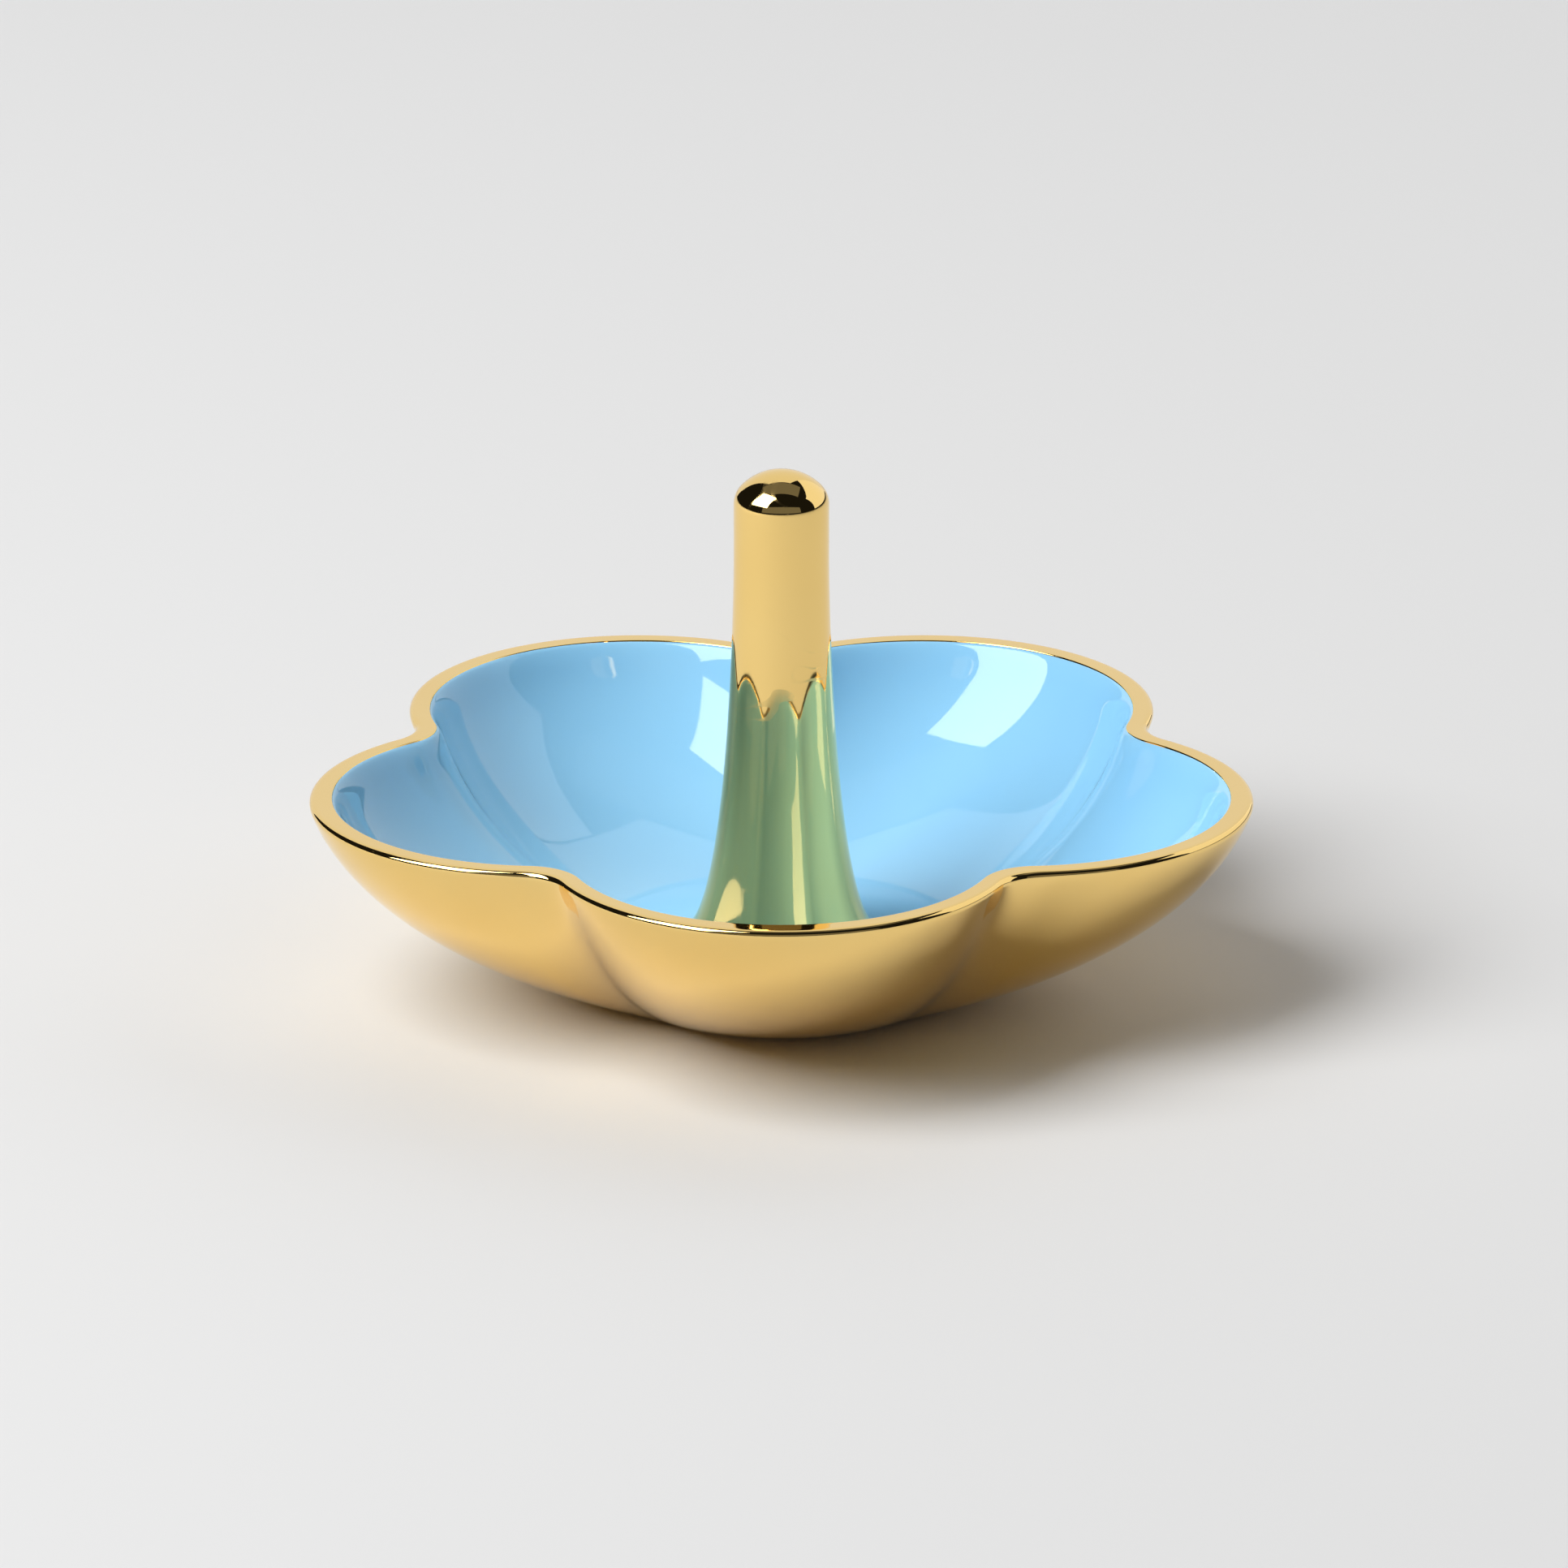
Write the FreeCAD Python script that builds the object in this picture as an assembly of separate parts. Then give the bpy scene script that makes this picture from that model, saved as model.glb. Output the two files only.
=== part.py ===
import FreeCAD, Part
import math
import os

# A footed ring dish: a petal-shaped metal bowl lined with enamel, and a post for rings in its middle.
# Sizes are in millimetres and angles in degrees. Heights are measured up from the table.
# The origin is on the axis of the post, on the underside of the pad, and a petal points to -Y.

# Rim: a flat land between two outlines, each of one wide arc a petal and one small hollow arc a notch
petal_count = 5
front_petal_degrees = -90.0
rim_height = 24.7
rim_tip_radius = 55.3
rim_notch_radius = 45.0
rim_notch_round = 5.5
land_width = 2.85
land_notch_round = 6.5
rim_outer_round = 0.7
rim_inner_round = 0.15

# Creases: below the rim the notches open out into wide hollows outside and ridges inside
side_notch_round = 12.0
lining_notch_round = 7.5
crease_share = 0.7

# Rays from a petal's tip to the bottom of a notch, along which each outline is measured
ray_shares = (0, 0.3, 0.55, 0.75, 0.87, 0.935, 0.97, 1)

# Side of the bowl: one curve from a round base up to the rim, which starts level and ends leaning outwards
base_radius = 21.2
base_handle = 2.9
rim_handle = 16.9
rim_lean_degrees = 71.6
floor_thickness = 3.2
inner_handle_cut = 1.7

# Enamel: a coat on the inside of the bowl that stops a little under the land
enamel_thickness = 0.6
enamel_drop = 0.2

# Ring post: a domed top, a short straight length and a long flare down to the foot
post_height = 60.5
post_radius = 5.44
crown_radius = 6.5
shoulder_round = 2.9
straight_length = 6.4
flare_top_handle = 5.0
foot_radius = 11.55
foot_edge_above_enamel = 0.8
flare_foot_handle = 5.7
flare_foot_lean_degrees = 17.2
foot_gap = 0.1

# Screw: countersunk, put in from below and turned by a hexagon socket
screw_radius = 1.95
screw_length = 16.0
screw_head_radius = 3.8
screw_head_sink = 0.1
socket_flats = 2.5
socket_depth = 1.4
thread_clearance = 0.05
floor_hole_clearance = 0.2
head_clearance = 0.05
thread_end_room = 1.5

# Base pad: a felt disc in a shallow recess, which stands a little proud of the base
pad_thickness = 1.0
pad_proud = 0.4
pad_radius = 17.5
pad_gap = 0.1

# How far a cut runs past what it cuts
overrun = 2.0

# Levels that several pieces share
floor_level = pad_proud + floor_thickness
enamel_level = floor_level + enamel_thickness
screw_head_level = pad_thickness + screw_head_sink

half_pitch = math.pi / petal_count
up = FreeCAD.Vector(0, 0, 1)


def polar(radius, angle):
    return FreeCAD.Vector(radius * math.cos(angle), radius * math.sin(angle), 0)


def on_axis(height):
    return FreeCAD.Vector(0, 0, height)


def ray_reach(centre, radius, angle, side):
    """Where a ray at an angle from an arc's centre line meets the far (1) or near (-1) side of it."""
    return centre * math.cos(angle) + side * math.sqrt(radius**2 - (centre * math.sin(angle)) ** 2)


def outline_radii(tip_radius, notch_radius, notch_round):
    """How far an outline reaches along each ray from a petal's tip to the bottom of the next notch.

    Wide petal arcs and hollow notch arcs run smoothly into each other on the line between their centres.
    """
    notch_centre = notch_radius + notch_round
    reach = tip_radius + notch_round
    petal_centre = (notch_centre**2 - reach**2) / (2 * (notch_centre * math.cos(half_pitch) - reach))
    petal_radius = tip_radius - petal_centre
    petal_share = petal_radius / (petal_radius + notch_round)
    meeting = polar(petal_centre, 0) * (1 - petal_share) + polar(notch_centre, half_pitch) * petal_share
    meeting_angle = math.atan2(meeting.y, meeting.x)
    radii = []
    for share in ray_shares:
        angle = half_pitch * share
        if angle < meeting_angle:
            radii.append(ray_reach(petal_centre, petal_radius, angle, 1))
        else:
            radii.append(ray_reach(notch_centre, notch_round, half_pitch - angle, -1))
    return radii


def ray_angles():
    """The angles of the rays once round the dish, from the tip of the front petal back to it."""
    front = math.radians(front_petal_degrees)
    angles = []
    for petal in range(petal_count):
        tip = front + 2 * half_pitch * petal
        angles += [tip + half_pitch * share for share in ray_shares[:-1]]
        angles += [tip + half_pitch * (2 - share) for share in ray_shares[:0:-1]]
    return angles + [front + 2 * math.pi]


def ring_curve(radii):
    """A smooth closed curve through its reach on each ray, mirrored and repeated for each petal."""
    around = (radii[:-1] + radii[:0:-1]) * petal_count
    angles = ray_angles()
    curve = Part.BSplineCurve()
    curve.interpolate(
        Points=[polar(radius, angle) for radius, angle in zip(around, angles)],
        PeriodicFlag=True,
        Parameters=angles,
    )
    return curve


def side_rows(base_level, tip_radius, top_handle):
    """The section of a side at a tip, as rows of poles: the share of the way out, and the height.

    It is one cubic curve, cut where the creases begin to tighten.
    """
    reach = tip_radius - base_radius
    lean = math.radians(rim_lean_degrees)
    poles = [
        (0, base_level),
        (base_handle / reach, base_level),
        (1 - top_handle * math.cos(lean) / reach, rim_height - top_handle * math.sin(lean)),
        (1, rim_height),
    ]
    rows = poles[:1]
    for low, high in zip(poles, poles[1:]):
        rows.append(tuple(a + (b - a) * crease_share for a, b in zip(low, high)))
    return rows + poles[-1:]


def bowl_side(tip_radius, notch_radius, rim_round, side_round, base_level, top_handle):
    """The side of a bowl, round at its base and petalled at its rim: a surface for each half petal.

    The notches are tight at the rim and open out below it into wide hollows.
    """
    base = ring_curve([base_radius] * len(ray_shares))
    side = ring_curve(outline_radii(tip_radius, notch_radius, side_round))
    rim = ring_curve(outline_radii(tip_radius, notch_radius, rim_round))
    rows = side_rows(base_level, tip_radius, top_handle)
    poles = []
    for base_pole, side_pole, rim_pole in zip(base.getPoles(), side.getPoles(), rim.getPoles()):
        column = []
        for share, height in rows[:-1]:
            column.append(base_pole * (1 - share) + side_pole * share + on_axis(height))
        column.append(rim_pole + on_axis(rim_height))
        poles.append(column)
    degree = rim.Degree
    ends = degree + 1
    whole = Part.BSplineSurface()
    whole.buildFromPolesMultsKnots(
        poles,
        rim.getMultiplicities(),
        [ends, 1, ends],
        rim.getKnots(),
        [0, crease_share, 1],
        True,
        False,
        degree,
        degree,
    )
    surfaces = []
    for half_petal in range(2 * petal_count):
        start = math.radians(front_petal_degrees) + half_pitch * half_petal
        surface = whole.copy()
        surface.segment(start, start + half_pitch, 0, 1)
        surfaces.append(surface)
    return surfaces


def bowl(tip_radius, notch_radius, rim_round, side_round, base_level, top_handle):
    """A solid bowl shape, filled to the rim."""
    side = bowl_side(tip_radius, notch_radius, rim_round, side_round, base_level, top_handle)
    faces = [surface.toShape() for surface in side]
    for end in (0, 1):
        faces.append(Part.Face(Part.Wire([surface.vIso(end).toShape() for surface in side])))
    shell = Part.makeShell(faces)
    shell.sewShape()
    return Part.makeSolid(shell)


def cavity():
    """The hollow of the bowl, before the enamel."""
    return bowl(
        rim_tip_radius - land_width,
        rim_notch_radius - land_width,
        land_notch_round,
        lining_notch_round,
        floor_level,
        rim_handle - inner_handle_cut,
    )


def land_face(shell):
    """The flat top of the rim: the highest of the plane faces."""
    planes = [face for face in shell.Faces if isinstance(face.Surface, Part.Plane)]
    return max(planes, key=lambda face: face.CenterOfMass.z)


def dish_shell():
    """The metal bowl, with a rounded rim, a recess for the pad and a countersunk hole for the screw."""
    shell = bowl(rim_tip_radius, rim_notch_radius, rim_notch_round, side_notch_round, pad_proud, rim_handle)
    shell = shell.cut(cavity())
    shell = shell.makeFillet(rim_outer_round, land_face(shell).OuterWire.Edges)
    land = land_face(shell)
    inner_wires = [wire for wire in land.Wires if not wire.isSame(land.OuterWire)]
    shell = shell.makeFillet(rim_inner_round, inner_wires[0].Edges)
    recess = Part.makeCylinder(pad_radius + pad_gap, pad_thickness + overrun, on_axis(-overrun))
    hole = Part.makeCylinder(screw_radius + floor_hole_clearance, floor_level + overrun)
    countersink = head_cone(head_clearance, overrun)
    return shell.cut([recess, hole, countersink])


def head_cone(clearance, extra):
    """The cone of the screw head at a right angle, wider by a clearance and carried on below by an extra."""
    wide = screw_head_radius + clearance + extra
    height = screw_head_radius - screw_radius + clearance + extra
    return Part.makeCone(wide, wide - height, height, on_axis(screw_head_level - extra))


def enamel_lining():
    """The coat inside the bowl, with a round opening for the foot of the post."""
    coat = cavity().cut(
        bowl(
            rim_tip_radius - land_width - enamel_thickness,
            rim_notch_radius - land_width - enamel_thickness,
            land_notch_round + enamel_thickness,
            lining_notch_round + enamel_thickness,
            enamel_level,
            rim_handle - inner_handle_cut,
        )
    )
    above = Part.makeCylinder(rim_tip_radius, enamel_drop + overrun, on_axis(rim_height - enamel_drop))
    opening = Part.makeCylinder(foot_radius + foot_gap, rim_height)
    return coat.cut([above, opening])


def ring_post():
    """The turned post: half of its outline, turned about the axis, with a blind hole for the screw."""
    crown_centre = on_axis(post_height - crown_radius)
    shoulder_offset = post_radius - shoulder_round
    shoulder_rise = math.sqrt((crown_radius - shoulder_round) ** 2 - shoulder_offset**2)
    shoulder_centre = crown_centre + FreeCAD.Vector(shoulder_offset, 0, shoulder_rise)
    tangent = math.atan2(shoulder_rise, shoulder_offset)
    top = on_axis(post_height)
    crown_middle = crown_centre + side_polar(crown_radius, (math.pi / 2 + tangent) / 2)
    crown_end = crown_centre + side_polar(crown_radius, tangent)
    shoulder_middle = shoulder_centre + side_polar(shoulder_round, tangent / 2)
    shoulder_end = shoulder_centre + side_polar(shoulder_round, 0)
    flare_top = shoulder_end - on_axis(straight_length)
    foot_lean = math.radians(flare_foot_lean_degrees)
    foot_top = FreeCAD.Vector(foot_radius, 0, enamel_level + foot_edge_above_enamel)
    flare = Part.BezierCurve()
    flare.setPoles([
        flare_top,
        flare_top - on_axis(flare_top_handle),
        foot_top + side_polar(flare_foot_handle, math.pi - foot_lean),
        foot_top,
    ])
    foot_bottom = FreeCAD.Vector(foot_radius, 0, floor_level)
    seat = on_axis(floor_level)
    outline = Part.Wire([
        Part.Arc(top, crown_middle, crown_end).toShape(),
        Part.Arc(crown_end, shoulder_middle, shoulder_end).toShape(),
        Part.makeLine(shoulder_end, flare_top),
        flare.toShape(),
        Part.makeLine(foot_top, foot_bottom),
        Part.makeLine(foot_bottom, seat),
        Part.makeLine(seat, top),
    ])
    post = Part.Face(outline).revolve(on_axis(0), up, 360)
    thread_radius = screw_radius + thread_clearance
    thread_end = screw_head_level + screw_length + thread_end_room
    thread = Part.makeCylinder(thread_radius, thread_end)
    drill_point = Part.makeCone(thread_radius, 0, thread_radius, on_axis(thread_end))
    return post.cut(thread.fuse(drill_point))


def side_polar(radius, angle):
    """An arm in the plane of the half outline, at an angle above the level."""
    return FreeCAD.Vector(radius * math.cos(angle), 0, radius * math.sin(angle))


def post_screw():
    """The countersunk screw, its thread as a plain shank, with a hexagon socket in the head."""
    shank = Part.makeCylinder(screw_radius, screw_length, on_axis(screw_head_level))
    sides = 6
    corner = socket_flats / (2 * math.cos(math.pi / sides))
    corners = [polar(corner, 2 * math.pi * side / sides) for side in range(sides)]
    hexagon = Part.Face(Part.makePolygon(corners + corners[:1]))
    socket = hexagon.extrude(on_axis(screw_head_level + socket_depth))
    return head_cone(0, 0).fuse(shank).removeSplitter().cut(socket)


def base_pad():
    """The felt disc under the base."""
    return Part.makeCylinder(pad_radius, pad_thickness)


pieces = {
    "dish_shell": dish_shell,
    "enamel_lining": enamel_lining,
    "ring_post": ring_post,
    "post_screw": post_screw,
    "base_pad": base_pad,
}
os.makedirs("parts", exist_ok=True)
for name, make in pieces.items():
    shape = make()
    shape.exportStep(os.path.join("parts", name + ".step"))
    box = shape.BoundBox
    print(name, "solids", len(shape.Solids), "valid", shape.isValid(), "volume", round(shape.Volume, 1))
    print("   from", round(box.XMin, 2), round(box.YMin, 2), round(box.ZMin, 2), end=" ")
    print("to", round(box.XMax, 2), round(box.YMax, 2), round(box.ZMax, 2))
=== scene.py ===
# %% [markdown]
# # A petal ring dish in gold and blue enamel
# This lesson dresses a small ring dish: a polished gold bowl with five petals, a glossy blue enamel
# lining and a tall gold post for rings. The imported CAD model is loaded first, as a fixed frame. Every
# piece made here stands exactly where its CAD node stands, and rides on the same body.

# %% Load the frame
from math import atan2, cos, pi, radians, sin, sqrt, tan

import bmesh
import bpy
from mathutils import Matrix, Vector


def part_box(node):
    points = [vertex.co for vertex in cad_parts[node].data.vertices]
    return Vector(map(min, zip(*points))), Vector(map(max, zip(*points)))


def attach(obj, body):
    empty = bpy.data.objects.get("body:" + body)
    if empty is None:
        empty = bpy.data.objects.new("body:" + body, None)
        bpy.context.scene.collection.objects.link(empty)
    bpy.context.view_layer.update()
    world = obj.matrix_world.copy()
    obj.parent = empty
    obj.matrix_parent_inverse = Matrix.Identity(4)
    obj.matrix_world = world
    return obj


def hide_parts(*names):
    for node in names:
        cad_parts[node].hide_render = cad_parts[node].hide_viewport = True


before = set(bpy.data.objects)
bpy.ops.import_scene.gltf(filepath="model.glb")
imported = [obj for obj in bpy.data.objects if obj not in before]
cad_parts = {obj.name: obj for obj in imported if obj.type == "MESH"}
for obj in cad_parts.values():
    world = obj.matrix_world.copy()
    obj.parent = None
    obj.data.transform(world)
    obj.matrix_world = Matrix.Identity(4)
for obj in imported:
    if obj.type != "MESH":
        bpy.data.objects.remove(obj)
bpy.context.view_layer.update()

# %% [markdown]
# ## Levels and sizes
# A mirror finish shows every dent in a mesh, so the bowl, the enamel and the post are modelled again with
# far more and far more even faces than a CAD mesh has. Their heights are read from the boxes of the CAD
# nodes. The sizes that a box can't tell, such as the width of the rim, are written once, in millimetres.

# %% Read the levels from the frame
MM = 0.001
ROOT = "root"
BASE_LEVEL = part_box("dish_shell")[0][2]
RIM_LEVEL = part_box("dish_shell")[1][2]
FLOOR_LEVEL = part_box("ring_post")[0][2]
POST_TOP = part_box("ring_post")[1][2]
FOOT_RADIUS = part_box("ring_post")[1][0]
PAD_LOW, PAD_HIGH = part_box("base_pad")
print(f"rim {RIM_LEVEL / MM:.2f} mm, floor {FLOOR_LEVEL / MM:.2f} mm, post top {POST_TOP / MM:.2f} mm")

# %% [markdown]
# ## The petal outline
# Seen from above, an outline of the bowl is five wide arcs joined by five small hollow arcs. It is worked
# out from three sizes: the reach of a petal's tip, the reach of the bottom of a notch, and the radius of
# the hollow arc. Every outline is measured along the same rays, so that one ring can be extruded into the
# next. The rays crowd together towards the notches, where the surface turns fastest.

# %% Spread the rays
PETALS = 5
FRONT_ANGLE = radians(-90)
HALF_PITCH = pi / PETALS
HALF_STEPS = 36
CROWDING = 1.7
COLUMNS = 2 * PETALS * HALF_STEPS
SHARES = [1 - (1 - step / HALF_STEPS) ** CROWDING for step in range(HALF_STEPS + 1)]


def ray_angles():
    """The angles of the rays, from the tip of the front petal round to where they start."""
    angles = []
    for petal in range(PETALS):
        tip = FRONT_ANGLE + 2 * HALF_PITCH * petal
        angles += [tip + HALF_PITCH * share for share in SHARES[:-1]]
        angles += [tip + HALF_PITCH * (2 - share) for share in SHARES[:0:-1]]
    return angles


ANGLES = ray_angles()
print("columns round the bowl", COLUMNS)


# %% Work out a petal outline
def polar(radius, angle):
    return Vector((radius * cos(angle), radius * sin(angle), 0))


def ray_reach(centre, radius, angle, side):
    """Where a ray at an angle from an arc's centre line meets its far (1) or near (-1) side."""
    return centre * cos(angle) + side * sqrt(radius**2 - (centre * sin(angle)) ** 2)


def petal_outline(tip, notch, hollow):
    """Five petals: the wide arcs and the hollow arcs run into each other without a corner."""
    hollow_centre = notch + hollow
    reach = tip + hollow
    petal_centre = (hollow_centre**2 - reach**2) / (2 * (hollow_centre * cos(HALF_PITCH) - reach))
    petal_arc = tip - petal_centre
    petal_share = petal_arc / (petal_arc + hollow)
    meeting = polar(petal_centre, 0).lerp(polar(hollow_centre, HALF_PITCH), petal_share)
    half = []
    for share in SHARES:
        angle = HALF_PITCH * share
        if angle < atan2(meeting.y, meeting.x):
            half.append(ray_reach(petal_centre, petal_arc, angle, 1))
        else:
            half.append(ray_reach(hollow_centre, hollow, HALF_PITCH - angle, -1))
    radii = (half[:-1] + half[:0:-1]) * PETALS
    return [polar(radius, angle) for radius, angle in zip(radii, ANGLES)]


def round_outline(radius):
    return [polar(radius, angle) for angle in ANGLES]


print("points on an outline", len(round_outline(1)))

# %% [markdown]
# ## Rings into walls
# A bowl like this can't be spun, because its outline isn't round. It can be grown instead: a circle of
# edges is put on the first outline, extruded, moved to the next outline, and so on along the section of
# the bowl. The helpers here start a ring, extrude it, round off the edges along a ring, and make a
# finished object of a mesh.

# %% Helpers that grow a mesh ring by ring
MERGE_DISTANCE = 1e-7


def level(height):
    return [height] * COLUMNS


def place(ring, outline, levels):
    for vert, point, height in zip(ring, outline, levels):
        vert.co = (point.x, point.y, height)


def ring_edges(bm, ring):
    return [bm.edges.get(pair) for pair in zip(ring, ring[1:] + ring[:1])]


def grow_ring(bm, ring, outline, levels):
    """Extrude a closed ring and put the new ring on an outline, in the same order of columns."""
    made = bmesh.ops.extrude_edge_only(bm, edges=ring_edges(bm, ring))["geom"]
    fresh = {item for item in made if isinstance(item, bmesh.types.BMVert)}
    following = []
    for vert in ring:
        following += [edge.other_vert(vert) for edge in vert.link_edges if edge.other_vert(vert) in fresh]
    place(following, outline, levels)
    return following


def grow_bowl(rows):
    """Grow a ring through rows of (outline, levels). The last row is merged with the first."""
    bm = bmesh.new()
    ring = bmesh.ops.create_circle(bm, cap_ends=False, segments=COLUMNS, radius=1)["verts"]
    place(ring, *rows[0])
    rings = [ring]
    for row in rows[1:]:
        rings.append(grow_ring(bm, rings[-1], *row))
    bmesh.ops.remove_doubles(bm, verts=rings[0] + rings[-1], dist=MERGE_DISTANCE)
    bmesh.ops.recalc_face_normals(bm, faces=bm.faces)
    return bm, rings


def round_ring(bm, ring, width, steps):
    """Round off the corner along a ring, back to a width on either side."""
    bmesh.ops.bevel(
        bm,
        geom=ring_edges(bm, ring),
        offset=width,
        offset_type="OFFSET",
        affect="EDGES",
        segments=steps,
        profile=0.5,
        material=-1,
    )


print("a ring has", COLUMNS, "edges")

# %% A helper that finishes a piece
SHARP_ANGLE = radians(40)


def finish_piece(name, bm, node):
    """Make the object, smooth it except at sharp corners, and hide the CAD node that it stands for."""
    for face in bm.faces:
        face.smooth = True
    mesh = bpy.data.meshes.new(name)
    bm.to_mesh(mesh)
    bm.free()
    mesh.set_sharp_from_angle(angle=SHARP_ANGLE)
    piece = bpy.data.objects.new(name, mesh)
    bpy.context.collection.objects.link(piece)
    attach(piece, ROOT)
    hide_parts(node)
    print(name, "faces", len(mesh.polygons))
    return piece


# %% [markdown]
# ## The sides of the bowl
# The bowl has three sides that run alike: its outside, its inside, and the face of the enamel. Each is
# one cubic curve that leaves a round base level and reaches the rim leaning outwards, and the petals fade
# in along it. The notches are tight only at the rim. A little way down they have opened out into wide,
# soft hollows.

# %% Work out the rings of a side
RIM_TIP = 55.265 * MM
RIM_NOTCH = 45.0 * MM
CREASE_SHARE = 0.7
BASE_RADIUS = 21.2 * MM
BASE_HANDLE = 2.9 * MM
RIM_LEAN = radians(71.6)


def cubic(p0, p1, p2, p3, t):
    s = 1 - t
    return p0 * s**3 + 3 * p1 * s**2 * t + 3 * p2 * s * t**2 + p3 * t**3


def side_of(inset, rim_hollow, side_hollow, base_level, handle):
    """A side, as a function that gives the ring of points and heights at a share of its curve."""
    tip = RIM_TIP - inset
    rim = petal_outline(tip, RIM_NOTCH - inset, rim_hollow)
    soft = petal_outline(tip, RIM_NOTCH - inset, side_hollow)
    base = round_outline(BASE_RADIUS)
    reach = tip - BASE_RADIUS
    low_handle = BASE_HANDLE / reach
    high_handle = 1 - handle * cos(RIM_LEAN) / reach

    def ring_at(t):
        out = cubic(0, low_handle, high_handle, 1, t)
        height = cubic(base_level, base_level, RIM_LEVEL - handle * sin(RIM_LEAN), RIM_LEVEL, t)
        tight = max(0, (t - CREASE_SHARE) / (1 - CREASE_SHARE)) ** 3
        outline = [low.lerp(mid, out) + (top - mid) * tight for low, mid, top in zip(base, soft, rim)]
        return outline, level(height)

    return ring_at


print("sides run from radius", round(BASE_RADIUS / MM, 1), "to", round(RIM_TIP / MM, 1), "mm")

# %% Set the three sides
RIM_HOLLOW = 5.5 * MM
SIDE_HOLLOW = 12.0 * MM
RIM_HANDLE = 16.9 * MM
LAND_WIDTH = 2.85 * MM
LAND_HOLLOW = 6.5 * MM
LINING_HOLLOW = 7.5 * MM
INNER_HANDLE = 15.2 * MM
ENAMEL_THICKNESS = 0.6 * MM
ENAMEL_FLOOR = FLOOR_LEVEL + ENAMEL_THICKNESS

outside = side_of(0, RIM_HOLLOW, SIDE_HOLLOW, BASE_LEVEL, RIM_HANDLE)
inside = side_of(LAND_WIDTH, LAND_HOLLOW, LINING_HOLLOW, FLOOR_LEVEL, INNER_HANDLE)
enamel_face = side_of(
    LAND_WIDTH + ENAMEL_THICKNESS,
    LAND_HOLLOW + ENAMEL_THICKNESS,
    LINING_HOLLOW + ENAMEL_THICKNESS,
    ENAMEL_FLOOR,
    INNER_HANDLE,
)
print(f"the land is {LAND_WIDTH / MM:.2f} mm wide, the enamel {ENAMEL_THICKNESS / MM:.2f} mm thick")

# %% [markdown]
# ## The gold bowl
# The bowl is one casting, so it is one closed mesh. Its section starts in the screw hole under the base,
# runs out across the recess of the felt pad, up the outside, over the flat land of the rim, and back down
# inside, under the enamel. Both edges of the land are grown sharp and then rounded off with a bevel: the
# outer one clearly, the inner one only a little.

# %% Lay out the rows under the base and over the rim
SCREW_HOLE = 2.15 * MM
COUNTERSINK = 3.9 * MM
COUNTERSINK_DEPTH = 1.75 * MM
RECESS_RADIUS = 17.6 * MM
RECESS_CEILING = PAD_HIGH[2]
LAND_SHARES = (0.46, 0.85)


def base_rows():
    """From the top of the screw hole, down its countersink and out across the recess."""
    return [
        (round_outline(SCREW_HOLE), level(FLOOR_LEVEL)),
        (round_outline(SCREW_HOLE), level(RECESS_CEILING + COUNTERSINK_DEPTH)),
        (round_outline(COUNTERSINK), level(RECESS_CEILING)),
        (round_outline(RECESS_RADIUS), level(RECESS_CEILING)),
        (round_outline(RECESS_RADIUS), level(BASE_LEVEL)),
    ]


def land_rows():
    """The rows within the flat land, between its outer and its inner edge."""
    pairs = list(zip(outside(1)[0], inside(1)[0]))
    outlines = [[outer.lerp(inner, share) for outer, inner in pairs] for share in LAND_SHARES]
    return [(outline, level(RIM_LEVEL)) for outline in outlines]


print("rows under the base", len(base_rows()), "and within the land", len(land_rows()))

# %% Grow the gold bowl
SIDE_ROWS = 44
INNER_ROWS = 18
EDGE_STEPS = 8
OUTER_ROUND = 0.7 * MM
INNER_ROUND = 0.15 * MM
OUTER_WIDTH = OUTER_ROUND * tan((pi - RIM_LEAN) / 2)
INNER_WIDTH = INNER_ROUND * tan(RIM_LEAN / 2)
OUTSIDE_TOP_SHARE = 0.962
INSIDE_TOP_SHARE = 0.98


def grow_gold_bowl():
    rows = base_rows()
    rows += [outside(OUTSIDE_TOP_SHARE * step / SIDE_ROWS) for step in range(SIDE_ROWS + 1)]
    outer_edge = len(rows)
    rows.append(outside(1))
    rows += land_rows()
    inner_edge = len(rows)
    rows.append(inside(1))
    rows += [inside(INSIDE_TOP_SHARE * (1 - step / INNER_ROWS)) for step in range(INNER_ROWS + 1)]
    rows.append(rows[0])
    bm, rings = grow_bowl(rows)
    round_ring(bm, rings[outer_edge], OUTER_WIDTH, EDGE_STEPS)
    round_ring(bm, rings[inner_edge], INNER_WIDTH, EDGE_STEPS)
    return bm


gold_bowl = finish_piece("gold_bowl", grow_gold_bowl(), "dish_shell")

# %% [markdown]
# ## The enamel
# The enamel is poured into the bowl and clings to the gold in a thin, rounded edge just under the rim.
# Its border isn't ruled: the hand that fills it leaves it a hair higher here and lower there. So the top
# rows of the enamel thin out towards the wall along a quarter round, and end at a height that wavers
# slowly along the rim.

# %% Let the border of the enamel waver
BORDER_DROP = 0.05 * MM
BORDER_WAVER = 0.06 * MM
BORDER_LEVEL = RIM_LEVEL - BORDER_DROP - BORDER_WAVER
# The strength, the count round the rim and the phase of each wave of the border.
WAVES = ((1.0, 7, 0.4), (0.7, 13, 2.1), (0.5, 23, 4.4))


def waver(column):
    """How far the border of the enamel strays from its mean height at a column."""
    turn = 2 * pi * column / COLUMNS
    sway = sum(strength * sin(count * turn + phase) for strength, count, phase in WAVES)
    return BORDER_WAVER * sway / sum(strength for strength, count, phase in WAVES)


BORDER = [BORDER_LEVEL + waver(column) for column in range(COLUMNS)]
depths = [(RIM_LEVEL - height) / MM for height in BORDER]
print(f"the border lies {min(depths):.2f} to {max(depths):.2f} mm below the rim")

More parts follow.
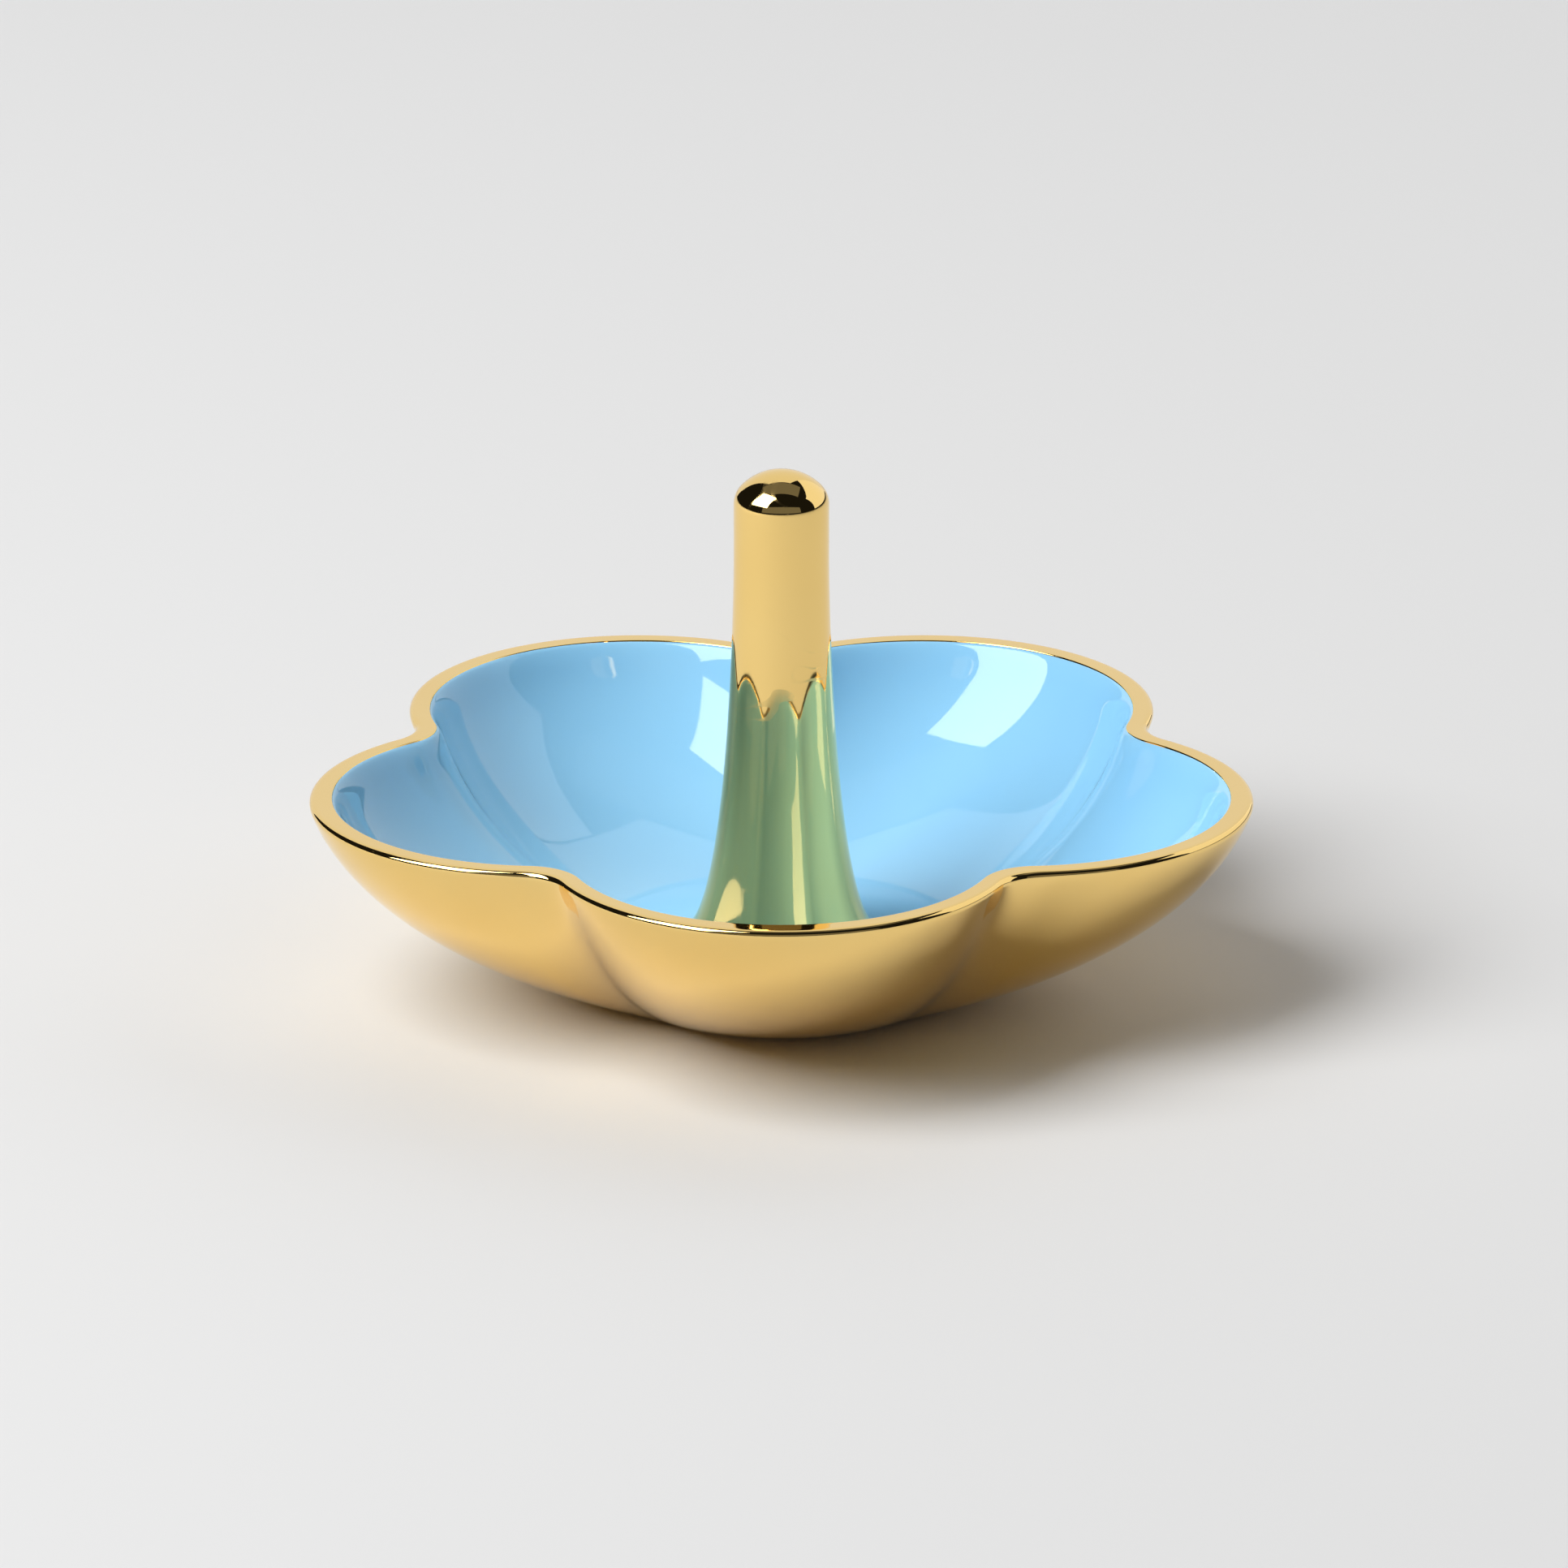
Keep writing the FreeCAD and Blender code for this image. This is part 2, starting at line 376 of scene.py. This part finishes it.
# %% Grow the enamel
FOOT_GAP = 0.1 * MM
FOOT_OPENING = FOOT_RADIUS + FOOT_GAP
EDGE_SHARE = 0.06
ENAMEL_ROWS = 48
EDGE_ROWS = 7


def edge_rows(start):
    """The rounded edge of the enamel, from its face over to the wall of the bowl."""
    low = enamel_face(start)[1]
    rows = []
    for step in range(1, EDGE_ROWS + 1):
        angle = pi / 2 * step / EDGE_ROWS
        t = start + EDGE_SHARE * sin(angle)
        outline = [a.lerp(b, 1 - cos(angle)) for a, b in zip(enamel_face(t)[0], inside(t)[0])]
        rows.append((outline, [a + (b - a) * sin(angle) for a, b in zip(low, BORDER)]))
    return rows


def enamel_rows():
    start = 1 - EDGE_SHARE
    opening = round_outline(FOOT_OPENING)
    rows = [(opening, level(FLOOR_LEVEL)), (opening, level(ENAMEL_FLOOR))]
    rows += [enamel_face(start * step / ENAMEL_ROWS) for step in range(ENAMEL_ROWS + 1)]
    rows += edge_rows(start)
    rows += [inside(start * (1 - step / INNER_ROWS)) for step in range(INNER_ROWS + 1)]
    rows.append(rows[0])
    return rows


blue_enamel = finish_piece("blue_enamel", grow_bowl(enamel_rows())[0], "enamel_lining")

# %% [markdown]
# ## The ring post
# The post is turned on a lathe, so it is spun here: half of its section is drawn as a chain of edges from
# the top of the dome down to the foot, and on round the screw hole back to the axis. A full spin with its
# seam merged closes it.

# %% Draw the dome of the post
POST_RADIUS = 5.44 * MM
CROWN_RADIUS = 6.5 * MM
SHOULDER_ROUND = 2.9 * MM
DOME_STEPS = 12


def section_arc(radius, centre_out, centre_level, start, end, steps):
    points = []
    for step in range(steps + 1):
        angle = start + (end - start) * step / steps
        points.append(Vector((centre_out + radius * cos(angle), 0, centre_level + radius * sin(angle))))
    return points


def dome_section():
    """The crown and the rounded shoulder, two arcs that run into each other."""
    crown_level = POST_TOP - CROWN_RADIUS
    shoulder_out = POST_RADIUS - SHOULDER_ROUND
    shoulder_rise = sqrt((CROWN_RADIUS - SHOULDER_ROUND) ** 2 - shoulder_out**2)
    meet = atan2(shoulder_rise, shoulder_out)
    crown = section_arc(CROWN_RADIUS, 0, crown_level, pi / 2, meet, DOME_STEPS)
    shoulder = section_arc(SHOULDER_ROUND, shoulder_out, crown_level + shoulder_rise, meet, 0, DOME_STEPS)
    return crown + shoulder[1:]


print(f"the dome ends {(POST_TOP - dome_section()[-1].z) / MM:.2f} mm below the top")

# %% Draw the rest of the post
STRAIGHT_LENGTH = 6.4 * MM
STRAIGHT_STEPS = 4
FLARE_TOP_HANDLE = 5.0 * MM
FLARE_FOOT_HANDLE = 5.7 * MM
FLARE_FOOT_LEAN = radians(17.2)
FLARE_STEPS = 48
FOOT_EDGE = 0.8 * MM
FOOT_EDGE_ROUND = 0.25 * MM
FOOT_EDGE_STEPS = 5
THREAD_RADIUS = 2.0 * MM
THREAD_END = 18.6 * MM


def flare_section(top):
    """One cubic curve from the end of the straight length to the foot, and the foot's rounded edge."""
    foot_top = Vector((FOOT_RADIUS, 0, ENAMEL_FLOOR + FOOT_EDGE))
    top_handle = top - Vector((0, 0, FLARE_TOP_HANDLE))
    foot_handle = foot_top + Vector((-cos(FLARE_FOOT_LEAN), 0, sin(FLARE_FOOT_LEAN))) * FLARE_FOOT_HANDLE
    shares = [step / FLARE_STEPS for step in range(FLARE_STEPS)]
    flare = [cubic(top, top_handle, foot_handle, foot_top, share) for share in shares]
    edge_out = FOOT_RADIUS - FOOT_EDGE_ROUND
    edge_level = foot_top.z - FOOT_EDGE_ROUND
    edge_start = pi / 2 - FLARE_FOOT_LEAN
    return flare + section_arc(FOOT_EDGE_ROUND, edge_out, edge_level, edge_start, 0, FOOT_EDGE_STEPS)


def hole_section():
    """Under the foot, in to the screw hole and up to its pointed end on the axis."""
    return [
        Vector((FOOT_RADIUS, 0, FLOOR_LEVEL)),
        Vector((THREAD_RADIUS, 0, FLOOR_LEVEL)),
        Vector((THREAD_RADIUS, 0, THREAD_END)),
        Vector((0, 0, THREAD_END + THREAD_RADIUS)),
    ]


def post_section():
    dome = dome_section()
    flare_top = dome[-1] - Vector((0, 0, STRAIGHT_LENGTH))
    straight = [dome[-1].lerp(flare_top, step / STRAIGHT_STEPS) for step in range(1, STRAIGHT_STEPS)]
    return dome + straight + flare_section(flare_top) + hole_section()


print("points in the section of the post", len(post_section()))

# %% Spin the post
SPIN_STEPS = 160


def spin_section(points):
    bm = bmesh.new()
    chain = [bm.verts.new(point) for point in points]
    edges = [bm.edges.new(pair) for pair in zip(chain, chain[1:])]
    bmesh.ops.spin(
        bm,
        geom=chain + edges,
        cent=(0, 0, 0),
        axis=(0, 0, 1),
        angle=2 * pi,
        steps=SPIN_STEPS,
        use_merge=True,
    )
    bmesh.ops.remove_doubles(bm, verts=bm.verts, dist=MERGE_DISTANCE)
    bmesh.ops.recalc_face_normals(bm, faces=bm.faces)
    return bm


gold_post = finish_piece("gold_post", spin_section(post_section()), "ring_post")

# %% [markdown]
# ## The felt pad
# A disc of felt is glued under the base. It is a die-cut sheet with soft edges, so a spun section with
# rounded corners does it. It hardly shows while the dish stands, but the dish may be turned over.

# %% Spin the felt pad
PAD_RADIUS = PAD_HIGH[0]
PAD_ROUND = 0.25 * MM
PAD_EDGE_STEPS = 4


def pad_section():
    out = PAD_RADIUS - PAD_ROUND
    upper = section_arc(PAD_ROUND, out, PAD_HIGH[2] - PAD_ROUND, pi / 2, 0, PAD_EDGE_STEPS)
    lower = section_arc(PAD_ROUND, out, PAD_LOW[2] + PAD_ROUND, 0, -pi / 2, PAD_EDGE_STEPS)
    return [Vector((0, 0, PAD_HIGH[2]))] + upper + lower + [Vector((0, 0, PAD_LOW[2]))]


felt_pad = finish_piece("felt_pad", spin_section(pad_section()), "base_pad")

# %% [markdown]
# ## Effects that the finishes share
# No real surface is quite even. Two small shader groups make what the eye picks up: slow clouds, where a
# polish is a touch duller or a colour a touch deeper, and fine hairline marks from wiping. Both come from
# one noise, and each finish places them with its own values.

# %% Helpers for shader groups
NOISE_MEAN = 0.5


def new_group(name, inputs, output):
    group = bpy.data.node_groups.new(name, "ShaderNodeTree")
    for label, value in inputs:
        socket = group.interface.new_socket(name=label, in_out="INPUT", socket_type="NodeSocketFloat")
        socket.default_value = value
    group.interface.new_socket(name=output, in_out="OUTPUT", socket_type="NodeSocketFloat")
    start = group.nodes.new("NodeGroupInput")
    end = group.nodes.new("NodeGroupOutput")
    return group, start, end


def add_noise(group, where, scale, detail):
    """A noise that swings about zero."""
    noise = group.nodes.new("ShaderNodeTexNoise")
    noise.inputs["Detail"].default_value = detail
    centre = group.nodes.new("ShaderNodeMath")
    centre.operation = "SUBTRACT"
    centre.inputs[1].default_value = NOISE_MEAN
    group.links.new(where, noise.inputs["Vector"])
    group.links.new(scale, noise.inputs["Scale"])
    group.links.new(noise.outputs["Fac"], centre.inputs[0])
    return centre.outputs[0]


# %% Build the polish clouds
def build_clouds():
    """Slow patches between 0 and 1 over the surface."""
    group, start, end = new_group("polish_clouds", [("Scale", 60.0), ("Contrast", 1.0)], "Clouds")
    where = group.nodes.new("ShaderNodeTexCoord")
    swing = add_noise(group, where.outputs["Object"], start.outputs["Scale"], detail=3.0)
    spread = group.nodes.new("ShaderNodeMath")
    spread.operation = "MULTIPLY_ADD"
    spread.use_clamp = True
    spread.inputs[2].default_value = NOISE_MEAN
    group.links.new(swing, spread.inputs[0])
    group.links.new(start.outputs["Contrast"], spread.inputs[1])
    group.links.new(spread.outputs[0], end.inputs["Clouds"])
    return group


CLOUDS = build_clouds()
print("group", CLOUDS.name)

# %% Build the hairline marks
MARK_STRETCH = (1.0, 0.25, 1.6)
MARK_TURN = (0.5, 0.2, 0.7)


def build_hairlines():
    """Thin wiping marks: where a noise that is stretched along one direction passes zero."""
    group, start, end = new_group("hairline_marks", [("Scale", 90.0), ("Width", 0.02)], "Marks")
    where = group.nodes.new("ShaderNodeTexCoord")
    stretch = group.nodes.new("ShaderNodeMapping")
    stretch.inputs["Scale"].default_value = MARK_STRETCH
    stretch.inputs["Rotation"].default_value = MARK_TURN
    group.links.new(where.outputs["Object"], stretch.inputs["Vector"])
    swing = add_noise(group, stretch.outputs[0], start.outputs["Scale"], detail=2.0)
    size = group.nodes.new("ShaderNodeMath")
    size.operation = "ABSOLUTE"
    line = group.nodes.new("ShaderNodeMath")
    line.operation = "LESS_THAN"
    group.links.new(swing, size.inputs[0])
    group.links.new(size.outputs[0], line.inputs[0])
    group.links.new(start.outputs["Width"], line.inputs[1])
    group.links.new(line.outputs[0], end.inputs["Marks"])
    return group


HAIRLINES = build_hairlines()
print("group", HAIRLINES.name)


# %% Helpers for materials
def new_material(name):
    material = bpy.data.materials.new(name)
    material.use_nodes = True
    shader = material.node_tree.nodes["Principled BSDF"]
    return material, shader


def add_group(material, group, **values):
    node = material.node_tree.nodes.new("ShaderNodeGroup")
    node.node_tree = group
    for label, value in values.items():
        node.inputs[label].default_value = value
    return node


def vary_colour(material, shader, mask, low, high):
    ramp = material.node_tree.nodes.new("ShaderNodeValToRGB")
    ramp.color_ramp.elements[0].color = (*low, 1)
    ramp.color_ramp.elements[1].color = (*high, 1)
    material.node_tree.links.new(mask, ramp.inputs[0])
    material.node_tree.links.new(ramp.outputs[0], shader.inputs["Base Color"])


def vary_roughness(material, shader, mask, low, high):
    span = material.node_tree.nodes.new("ShaderNodeMapRange")
    span.inputs["To Min"].default_value = low
    span.inputs["To Max"].default_value = high
    material.node_tree.links.new(mask, span.inputs["Value"])
    material.node_tree.links.new(span.outputs[0], shader.inputs["Roughness"])


def add_bump(material, shader, height, strength, distance):
    bump = material.node_tree.nodes.new("ShaderNodeBump")
    bump.inputs["Strength"].default_value = strength
    bump.inputs["Distance"].default_value = distance
    material.node_tree.links.new(height, bump.inputs["Height"])
    material.node_tree.links.new(bump.outputs["Normal"], shader.inputs["Normal"])


def dress(piece, material):
    piece.data.materials.clear()
    piece.data.materials.append(material)
    print(piece.name, "wears", material.name)


# %% [markdown]
# ## Gold plate
# The bowl and the post are plated with gold and polished to a mirror. Gold is pure metal: its colour is
# only the tint of what it reflects. A plain metal shader would be too perfect, so the clouds shift the
# tint and dent the mirror by a hair, and the wiping marks are a little rougher than the polish.

# %% Make the gold
GOLD_DEEP = (0.94, 0.65, 0.22)
GOLD_LIGHT = (0.97, 0.70, 0.265)
GOLD_DENT = 0.4 * MM


def make_gold():
    material, shader = new_material("plated_gold")
    shader.inputs["Metallic"].default_value = 1.0
    clouds = add_group(material, CLOUDS, Scale=55.0, Contrast=1.6)
    marks = add_group(material, HAIRLINES, Scale=70.0, Width=0.006)
    vary_colour(material, shader, clouds.outputs["Clouds"], GOLD_DEEP, GOLD_LIGHT)
    vary_roughness(material, shader, marks.outputs["Marks"], low=0.04, high=0.12)
    add_bump(material, shader, clouds.outputs["Clouds"], strength=0.08, distance=GOLD_DENT)
    return material


plated_gold = make_gold()
dress(gold_bowl, plated_gold)
dress(gold_post, plated_gold)

# %% [markdown]
# ## Blue enamel
# Enamel is coloured glass melted onto the metal: opaque, glossy and a little deeper in colour where it
# lies thicker. The shader is a plain glossy one with the refraction of glass. Its clouds vary the blue,
# and a fine ripple keeps the reflections from looking ruled.

# %% Make the enamel
ENAMEL_DEEP = (0.30, 0.655, 0.96)
ENAMEL_LIGHT = (0.345, 0.705, 0.985)
ENAMEL_RIPPLE = 0.1 * MM


def make_enamel():
    material, shader = new_material("sky_blue_enamel")
    shader.inputs["IOR"].default_value = 1.52
    clouds = add_group(material, CLOUDS, Scale=40.0, Contrast=1.5)
    ripple = add_group(material, CLOUDS, Scale=350.0, Contrast=1.0)
    vary_colour(material, shader, clouds.outputs["Clouds"], ENAMEL_DEEP, ENAMEL_LIGHT)
    vary_roughness(material, shader, clouds.outputs["Clouds"], low=0.03, high=0.06)
    add_bump(material, shader, ripple.outputs["Clouds"], strength=0.05, distance=ENAMEL_RIPPLE)
    return material


dress(blue_enamel, make_enamel())

# %% [markdown]
# ## Felt and steel
# The pad is dark matt felt: the clouds at a very fine scale make its fibres, and a sheen lights their
# tips. The screw is plain turned steel, which keeps its CAD mesh and shows many more wiping marks than
# the gold.

# %% Make the felt
FELT_DARK = (0.018, 0.018, 0.02)
FELT_LIGHT = (0.06, 0.06, 0.066)
FELT_NAP = 0.4 * MM


def make_felt():
    material, shader = new_material("dark_felt")
    fibre = add_group(material, CLOUDS, Scale=2600.0, Contrast=2.0)
    vary_colour(material, shader, fibre.outputs["Clouds"], FELT_DARK, FELT_LIGHT)
    shader.inputs["Roughness"].default_value = 1.0
    shader.inputs["Sheen Weight"].default_value = 0.4
    add_bump(material, shader, fibre.outputs["Clouds"], strength=0.9, distance=FELT_NAP)
    return material


dress(felt_pad, make_felt())

# %% Make the steel
STEEL_DARK = (0.46, 0.46, 0.47)
STEEL_LIGHT = (0.6, 0.6, 0.6)
STEEL_MARK_DEPTH = 0.1 * MM


def make_steel():
    material, shader = new_material("screw_steel")
    shader.inputs["Metallic"].default_value = 1.0
    clouds = add_group(material, CLOUDS, Scale=400.0, Contrast=1.4)
    marks = add_group(material, HAIRLINES, Scale=900.0, Width=0.05)
    vary_colour(material, shader, clouds.outputs["Clouds"], STEEL_DARK, STEEL_LIGHT)
    vary_roughness(material, shader, marks.outputs["Marks"], low=0.28, high=0.5)
    add_bump(material, shader, marks.outputs["Marks"], strength=0.2, distance=STEEL_MARK_DEPTH)
    return material


dress(bpy.data.objects["post_screw"], make_steel())

# %% [markdown]
# ## The studio
# The dish stands on a plain pale floor in soft light. The key light is a large soft panel high on the
# left. A dim panel behind, a dim board on the right, and a still dimmer ceiling and front wall are what
# the gold shows. The rest of the room is dark, which gives the gold its contrast.

# %% Lay the floor
FLOOR_SIZE = 6.0
FLOOR_COLOUR = (0.79, 0.79, 0.79)
FLOOR_ROUGHNESS = 0.9
FLOOR_SHINE = 0.1


def make_floor():
    bm = bmesh.new()
    bmesh.ops.create_grid(bm, x_segments=1, y_segments=1, size=FLOOR_SIZE / 2)
    mesh = bpy.data.meshes.new("table")
    bm.to_mesh(mesh)
    bm.free()
    table = bpy.data.objects.new("table", mesh)
    bpy.context.collection.objects.link(table)
    material, shader = new_material("pale_table")
    shader.inputs["Base Color"].default_value = (*FLOOR_COLOUR, 1)
    shader.inputs["Roughness"].default_value = FLOOR_ROUGHNESS
    shader.inputs["Specular IOR Level"].default_value = FLOOR_SHINE
    dress(table, material)


make_floor()

# %% Set the lights and the room
# Each panel's name, its place, the point that it faces, its width, its height, and its power in watts.
PANELS = (
    ("key_panel", (-0.853, -0.38, 1.262), (0.127, 0.608, 0.71), 0.97, 1.45, 32.2),
    ("back_panel", (-0.18, 1.7, 1.8), (-0.18, 0, 1.8), 2.04, 3.6, 18.7),
    ("right_board", (0.82, 0.48, 0.65), (0, 0, 0.65), 1.25, 1.1, 4.1),
    ("ceiling_panel", (0, 0.4, 2.3), (0, 0.4, 0), 2.4, 1.2, 1.4),
    ("front_panel", (0, -2.0, 0.8), (0, 0, 0.8), 4.4, 1.2, 2.6),
)
ROOM_BRIGHTNESS = 0.01


def add_panel(name, place_at, aim, width, height, power):
    data = bpy.data.lights.new(name, "AREA")
    data.shape = "RECTANGLE"
    data.size = width
    data.size_y = height
    data.energy = power
    lamp = bpy.data.objects.new(name, data)
    lamp.location = place_at
    lamp.rotation_euler = (Vector(aim) - Vector(place_at)).to_track_quat("-Z", "Y").to_euler()
    bpy.context.collection.objects.link(lamp)
    print(name, power, "W")


def make_room(brightness):
    """A dark room round the studio, with the same faint light from every side."""
    world = bpy.data.worlds.new("studio")
    bpy.context.scene.world = world
    world.use_nodes = True
    background = world.node_tree.nodes["Background"]
    background.inputs["Color"].default_value = (brightness, brightness, brightness, 1)


for panel in PANELS:
    add_panel(*panel)
make_room(ROOM_BRIGHTNESS)
bpy.context.scene.view_settings.view_transform = "Standard"

# %% [markdown]
# ## The camera
# The photo was taken from far away with a long lens, a little above the rim, looking at the front petal.
# The values here were worked out from the outline of the rim in the picture.

# %% Set the camera
CAMERA_ELEVATION = radians(19.03)
CAMERA_DISTANCE = 1.3755
CAMERA_SIDE = 0.295 * MM
AIM_LEVEL = 22.99 * MM
LENS = 276.46
SENSOR = 36.0

camera_data = bpy.data.cameras.new("camera")
camera_data.lens = LENS
camera_data.sensor_width = SENSOR
camera = bpy.data.objects.new("camera", camera_data)
bpy.context.collection.objects.link(camera)
aim = Vector((CAMERA_SIDE, 0, AIM_LEVEL))
stand = Vector((0, -cos(CAMERA_ELEVATION), sin(CAMERA_ELEVATION))) * CAMERA_DISTANCE
camera.location = aim + stand
camera.rotation_euler = (aim - camera.location).to_track_quat("-Z", "Y").to_euler()
bpy.context.scene.camera = camera
print("camera at", [round(value, 4) for value in camera.location])
